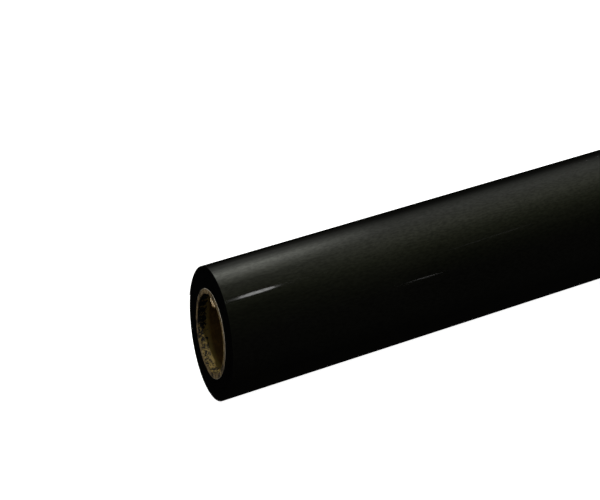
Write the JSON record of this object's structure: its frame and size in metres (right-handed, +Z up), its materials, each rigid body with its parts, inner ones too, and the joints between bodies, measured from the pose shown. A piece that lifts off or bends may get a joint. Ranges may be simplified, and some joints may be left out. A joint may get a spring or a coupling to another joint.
{
  "type": "sign vinyl roll",
  "caption": "Roll of glossy black self-adhesive sign vinyl on a paper core, film side out, with a tail that lifts and film that peels from its liner.",
  "frame": {"origin": "on the core's axis, at half the core's length", "axes": "+X along the core, +Z up as the roll lies on its side; the tail hangs on the +Y side"},
  "size_m": [0.616, 0.1286, 0.1287],
  "materials": {
    "coreboard": "matt grey-brown paper board",
    "black_vinyl": "glossy calendered film",
    "release_liner": "smooth siliconised paper",
    "paper_tape": "matt crepe paper tape"
  },
  "bodies": {
    "roll": {"core_inner_ply": "coreboard", "core_body_ply_1": "coreboard", "core_body_ply_2": "coreboard", "core_body_ply_3": "coreboard", "core_body_ply_4": "coreboard", "core_body_ply_5": "coreboard", "core_body_ply_6": "coreboard", "core_outer_ply": "coreboard", "core_start_tape": "paper_tape", "inner_turns": "black_vinyl", "outer_turn_liner": "release_liner", "outer_turn_film": "black_vinyl"},
    "tail": {"tail_liner": "release_liner", "tail_film": "black_vinyl"},
    "film_tip": {"film_tip": "black_vinyl", "tail_tape_tabs": "paper_tape"}
  },
  "joints": [
    {"name": "tail_lift", "type": "hinge", "parent": "roll", "child": "tail", "pos_m": [0, 0.0386, 0.05162], "axis": [1, 0, 0], "range_deg": [0, 80]},
    {"name": "film_peel", "type": "hinge", "parent": "tail", "child": "film_tip", "pos_m": [0, 0.0554, 0.03318], "axis": [1, 0, 0], "range_deg": [0, 100]}
  ]
}
